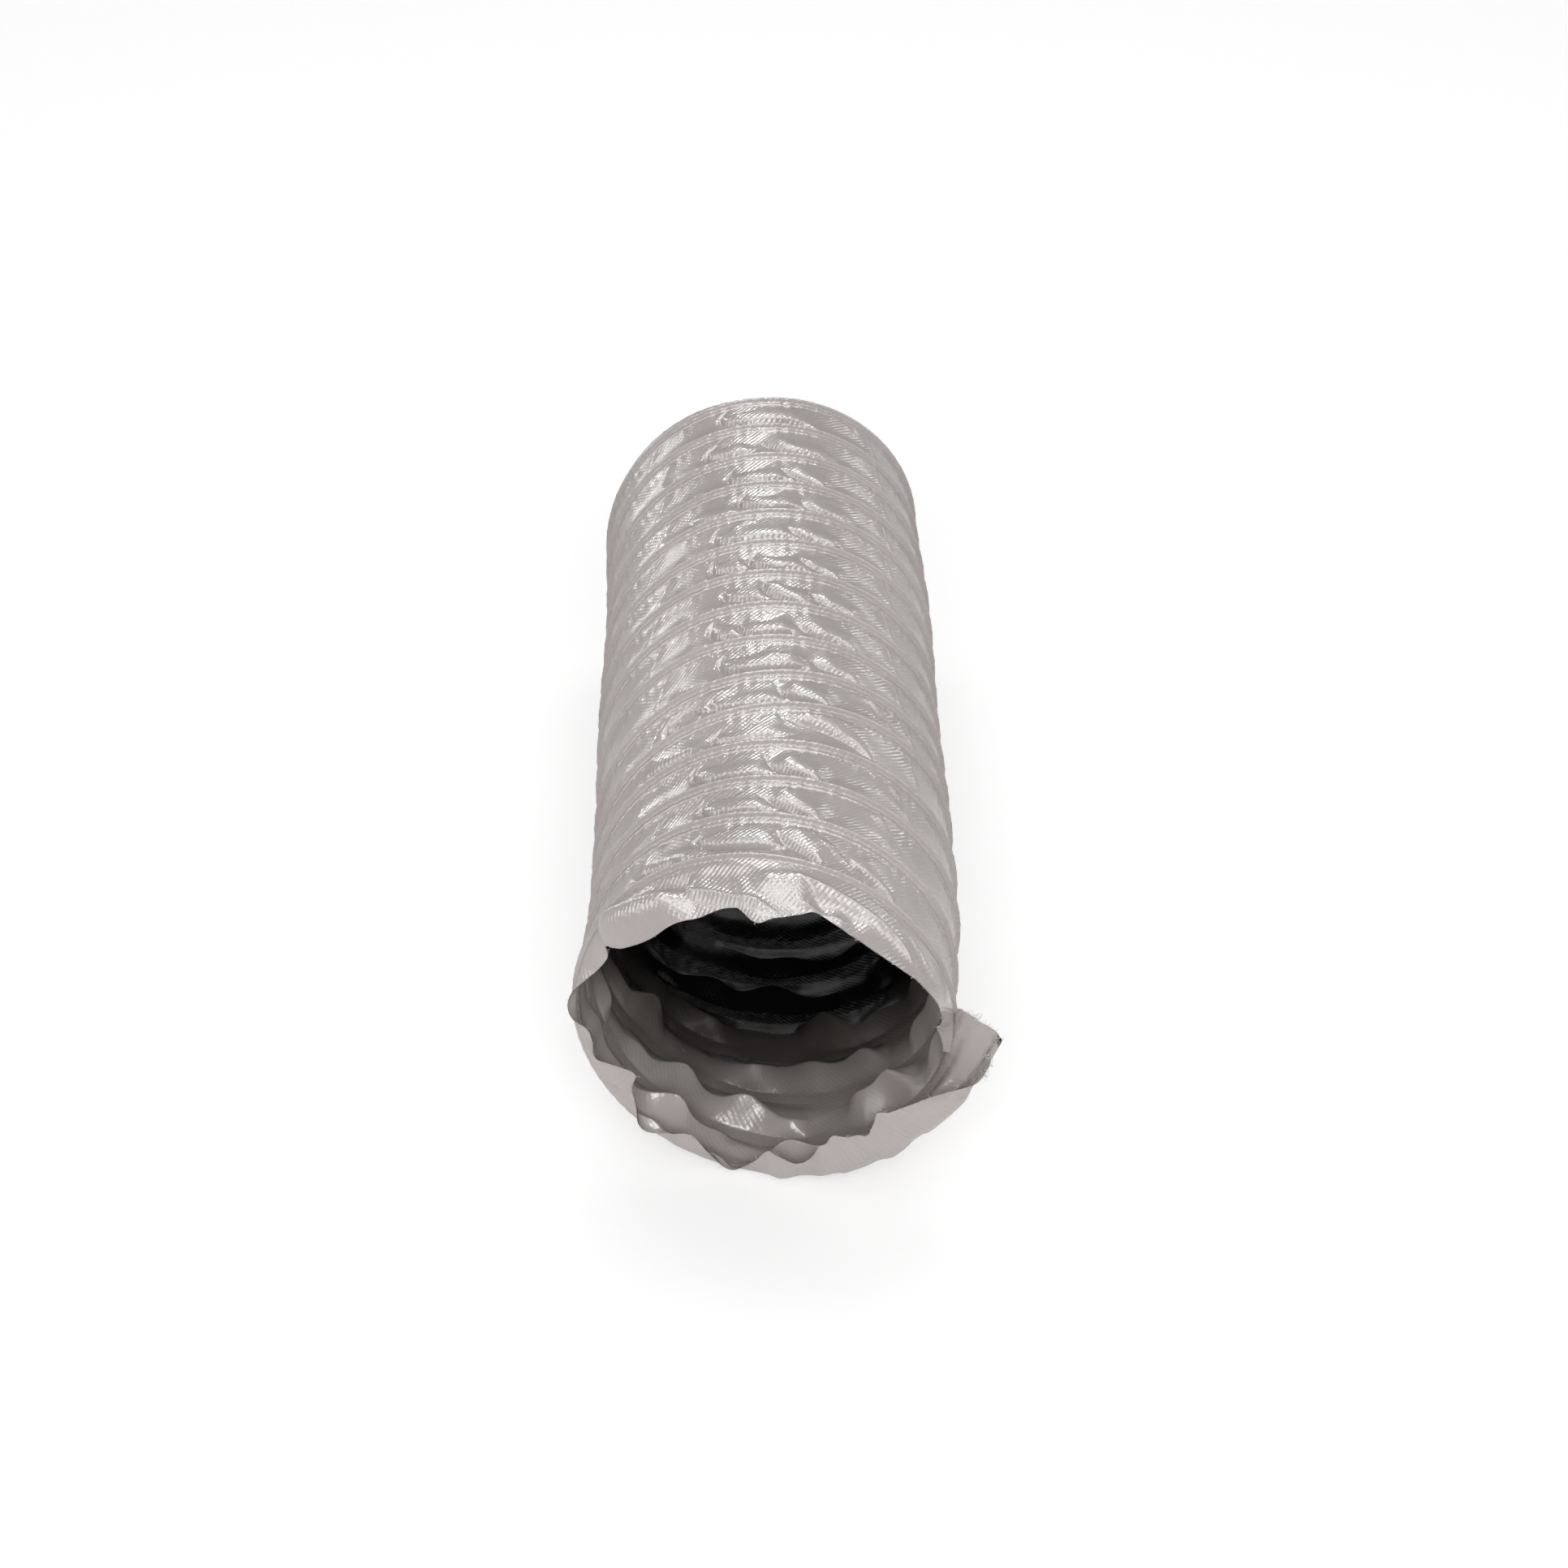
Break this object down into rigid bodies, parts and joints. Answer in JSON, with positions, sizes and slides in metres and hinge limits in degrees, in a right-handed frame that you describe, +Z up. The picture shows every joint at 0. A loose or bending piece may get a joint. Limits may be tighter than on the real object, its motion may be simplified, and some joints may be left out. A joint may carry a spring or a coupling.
{
  "type": "flexible air duct",
  "caption": "Flexible ventilation duct: a coated fabric strip wound and welded over a spring-wire helix, with raw-cut ends; it stretches, closes up and bends.",
  "frame": {"origin": "centre of the foot of the part's box, on the floor under the middle of the duct", "axes": "+Y runs along the duct from its mouth to its far end, the mouth looks along -Y; +Z is up from the floor that the wire ridges lie on; +X points to the side where the loose cut tail stands off the mouth"},
  "size_m": [0.1688, 0.4728, 0.1563],
  "materials": {
    "coated_fabric": "glossy PVC coating over a fine woven base, warm light grey",
    "spring_wire": "drawn spring-steel wire"
  },
  "bodies": {
    "mouth_end": {"fabric_turn_01": "coated_fabric", "wire_turn_01": "spring_wire", "mouth_web": "coated_fabric", "mouth_cuff": "coated_fabric"},
    "turn_02": {"fabric_turn_02": "coated_fabric", "wire_turn_02": "spring_wire"},
    "turn_03": {"fabric_turn_03": "coated_fabric", "wire_turn_03": "spring_wire"},
    "turn_04": {"fabric_turn_04": "coated_fabric", "wire_turn_04": "spring_wire"},
    "turn_05": {"fabric_turn_05": "coated_fabric", "wire_turn_05": "spring_wire"},
    "turn_06": {"fabric_turn_06": "coated_fabric", "wire_turn_06": "spring_wire"},
    "turn_07": {"fabric_turn_07": "coated_fabric", "wire_turn_07": "spring_wire"},
    "turn_08": {"fabric_turn_08": "coated_fabric", "wire_turn_08": "spring_wire"},
    "turn_09": {"fabric_turn_09": "coated_fabric", "wire_turn_09": "spring_wire"},
    "turn_10": {"fabric_turn_10": "coated_fabric", "wire_turn_10": "spring_wire"},
    "turn_11": {"fabric_turn_11": "coated_fabric", "wire_turn_11": "spring_wire"},
    "turn_12": {"fabric_turn_12": "coated_fabric", "wire_turn_12": "spring_wire"},
    "turn_13": {"fabric_turn_13": "coated_fabric", "wire_turn_13": "spring_wire"},
    "turn_14": {"fabric_turn_14": "coated_fabric", "wire_turn_14": "spring_wire"},
    "far_end": {"fabric_turn_15": "coated_fabric", "wire_turn_15": "spring_wire", "far_cuff": "coated_fabric"},
    "web_08": {"fabric_web_08": "coated_fabric"},
    "web_09": {"fabric_web_09": "coated_fabric"},
    "web_10": {"fabric_web_10": "coated_fabric"},
    "web_11": {"fabric_web_11": "coated_fabric"},
    "web_12": {"fabric_web_12": "coated_fabric"},
    "web_13": {"fabric_web_13": "coated_fabric"},
    "web_14": {"fabric_web_14": "coated_fabric"},
    "web_07": {"fabric_web_07": "coated_fabric"},
    "web_06": {"fabric_web_06": "coated_fabric"},
    "web_05": {"fabric_web_05": "coated_fabric"},
    "web_04": {"fabric_web_04": "coated_fabric"},
    "web_03": {"fabric_web_03": "coated_fabric"},
    "web_02": {"fabric_web_02": "coated_fabric"},
    "web_01": {"fabric_web_01": "coated_fabric"}
  },
  "joints": [
    {"name": "compress", "type": "slide", "parent": "turn_08", "child": "web_08", "axis": [0, 1, 0], "range_m": [-0.007, 0.002], "deforming": ["fabric_web_08"]},
    {"name": "bend", "type": "hinge", "parent": "web_08", "child": "turn_09", "pos_m": [-0.00622, 0.02561, 0.07815], "axis": [0, 0, 1], "range_deg": [-4, 4]},
    {"name": "slide_09", "type": "slide", "parent": "turn_09", "child": "web_09", "axis": [0, 1, 0], "range_m": [-0.007, 0.002], "deforming": ["fabric_web_09"]},
    {"name": "hinge_09", "type": "hinge", "parent": "web_09", "child": "turn_10", "pos_m": [-0.00622, 0.05461, 0.07815], "axis": [0, 0, 1], "range_deg": [-4, 4]},
    {"name": "slide_10", "type": "slide", "parent": "turn_10", "child": "web_10", "axis": [0, 1, 0], "range_m": [-0.007, 0.002], "deforming": ["fabric_web_10"]},
    {"name": "hinge_10", "type": "hinge", "parent": "web_10", "child": "turn_11", "pos_m": [-0.00622, 0.08361, 0.07815], "axis": [0, 0, 1], "range_deg": [-4, 4]},
    {"name": "slide_11", "type": "slide", "parent": "turn_11", "child": "web_11", "axis": [0, 1, 0], "range_m": [-0.007, 0.002], "deforming": ["fabric_web_11"]},
    {"name": "hinge_11", "type": "hinge", "parent": "web_11", "child": "turn_12", "pos_m": [-0.00622, 0.11261, 0.07815], "axis": [0, 0, 1], "range_deg": [-4, 4]},
    {"name": "slide_12", "type": "slide", "parent": "turn_12", "child": "web_12", "axis": [0, 1, 0], "range_m": [-0.007, 0.002], "deforming": ["fabric_web_12"]},
    {"name": "hinge_12", "type": "hinge", "parent": "web_12", "child": "turn_13", "pos_m": [-0.00622, 0.14161, 0.07815], "axis": [0, 0, 1], "range_deg": [-4, 4]},
    {"name": "slide_13", "type": "slide", "parent": "turn_13", "child": "web_13", "axis": [0, 1, 0], "range_m": [-0.007, 0.002], "deforming": ["fabric_web_13"]},
    {"name": "hinge_13", "type": "hinge", "parent": "web_13", "child": "turn_14", "pos_m": [-0.00622, 0.17061, 0.07815], "axis": [0, 0, 1], "range_deg": [-4, 4]},
    {"name": "slide_14", "type": "slide", "parent": "turn_14", "child": "web_14", "axis": [0, 1, 0], "range_m": [-0.007, 0.002], "deforming": ["fabric_web_14"]},
    {"name": "hinge_14", "type": "hinge", "parent": "web_14", "child": "far_end", "pos_m": [-0.00622, 0.19961, 0.07815], "axis": [0, 0, 1], "range_deg": [-4, 4]},
    {"name": "slide_07", "type": "slide", "parent": "turn_08", "child": "web_07", "axis": [0, -1, 0], "range_m": [-0.007, 0.002], "deforming": ["fabric_web_07"]},
    {"name": "hinge_07", "type": "hinge", "parent": "web_07", "child": "turn_07", "pos_m": [-0.00622, -0.01339, 0.07815], "axis": [0, 0, -1], "range_deg": [-4, 4]},
    {"name": "slide_06", "type": "slide", "parent": "turn_07", "child": "web_06", "axis": [0, -1, 0], "range_m": [-0.007, 0.002], "deforming": ["fabric_web_06"]},
    {"name": "hinge_06", "type": "hinge", "parent": "web_06", "child": "turn_06", "pos_m": [-0.00622, -0.04239, 0.07815], "axis": [0, 0, -1], "range_deg": [-4, 4]},
    {"name": "slide_05", "type": "slide", "parent": "turn_06", "child": "web_05", "axis": [0, -1, 0], "range_m": [-0.007, 0.002], "deforming": ["fabric_web_05"]},
    {"name": "hinge_05", "type": "hinge", "parent": "web_05", "child": "turn_05", "pos_m": [-0.00622, -0.07139, 0.07815], "axis": [0, 0, -1], "range_deg": [-4, 4]},
    {"name": "slide_04", "type": "slide", "parent": "turn_05", "child": "web_04", "axis": [0, -1, 0], "range_m": [-0.007, 0.002], "deforming": ["fabric_web_04"]},
    {"name": "hinge_04", "type": "hinge", "parent": "web_04", "child": "turn_04", "pos_m": [-0.00622, -0.10039, 0.07815], "axis": [0, 0, -1], "range_deg": [-4, 4]},
    {"name": "slide_03", "type": "slide", "parent": "turn_04", "child": "web_03", "axis": [0, -1, 0], "range_m": [-0.007, 0.002], "deforming": ["fabric_web_03"]},
    {"name": "hinge_03", "type": "hinge", "parent": "web_03", "child": "turn_03", "pos_m": [-0.00622, -0.12939, 0.07815], "axis": [0, 0, -1], "range_deg": [-4, 4]},
    {"name": "slide_02", "type": "slide", "parent": "turn_03", "child": "web_02", "axis": [0, -1, 0], "range_m": [-0.007, 0.002], "deforming": ["fabric_web_02"]},
    {"name": "hinge_02", "type": "hinge", "parent": "web_02", "child": "turn_02", "pos_m": [-0.00622, -0.15839, 0.07815], "axis": [0, 0, -1], "range_deg": [-4, 4]},
    {"name": "slide_01", "type": "slide", "parent": "turn_02", "child": "web_01", "axis": [0, -1, 0], "range_m": [-0.007, 0.002], "deforming": ["fabric_web_01"]},
    {"name": "hinge_01", "type": "hinge", "parent": "web_01", "child": "mouth_end", "pos_m": [-0.00622, -0.18739, 0.07815], "axis": [0, 0, -1], "range_deg": [-4, 4]}
  ],
  "couplings": [
    {"joint": "slide_09", "follows": "compress", "ratio": 1},
    {"joint": "hinge_09", "follows": "bend", "ratio": 1},
    {"joint": "slide_10", "follows": "compress", "ratio": 1},
    {"joint": "hinge_10", "follows": "bend", "ratio": 1},
    {"joint": "slide_11", "follows": "compress", "ratio": 1},
    {"joint": "hinge_11", "follows": "bend", "ratio": 1},
    {"joint": "slide_12", "follows": "compress", "ratio": 1},
    {"joint": "hinge_12", "follows": "bend", "ratio": 1},
    {"joint": "slide_13", "follows": "compress", "ratio": 1},
    {"joint": "hinge_13", "follows": "bend", "ratio": 1},
    {"joint": "slide_14", "follows": "compress", "ratio": 1},
    {"joint": "hinge_14", "follows": "bend", "ratio": 1},
    {"joint": "slide_07", "follows": "compress", "ratio": 1},
    {"joint": "hinge_07", "follows": "bend", "ratio": 1},
    {"joint": "slide_06", "follows": "compress", "ratio": 1},
    {"joint": "hinge_06", "follows": "bend", "ratio": 1},
    {"joint": "slide_05", "follows": "compress", "ratio": 1},
    {"joint": "hinge_05", "follows": "bend", "ratio": 1},
    {"joint": "slide_04", "follows": "compress", "ratio": 1},
    {"joint": "hinge_04", "follows": "bend", "ratio": 1},
    {"joint": "slide_03", "follows": "compress", "ratio": 1},
    {"joint": "hinge_03", "follows": "bend", "ratio": 1},
    {"joint": "slide_02", "follows": "compress", "ratio": 1},
    {"joint": "hinge_02", "follows": "bend", "ratio": 1},
    {"joint": "slide_01", "follows": "compress", "ratio": 1},
    {"joint": "hinge_01", "follows": "bend", "ratio": 1}
  ]
}
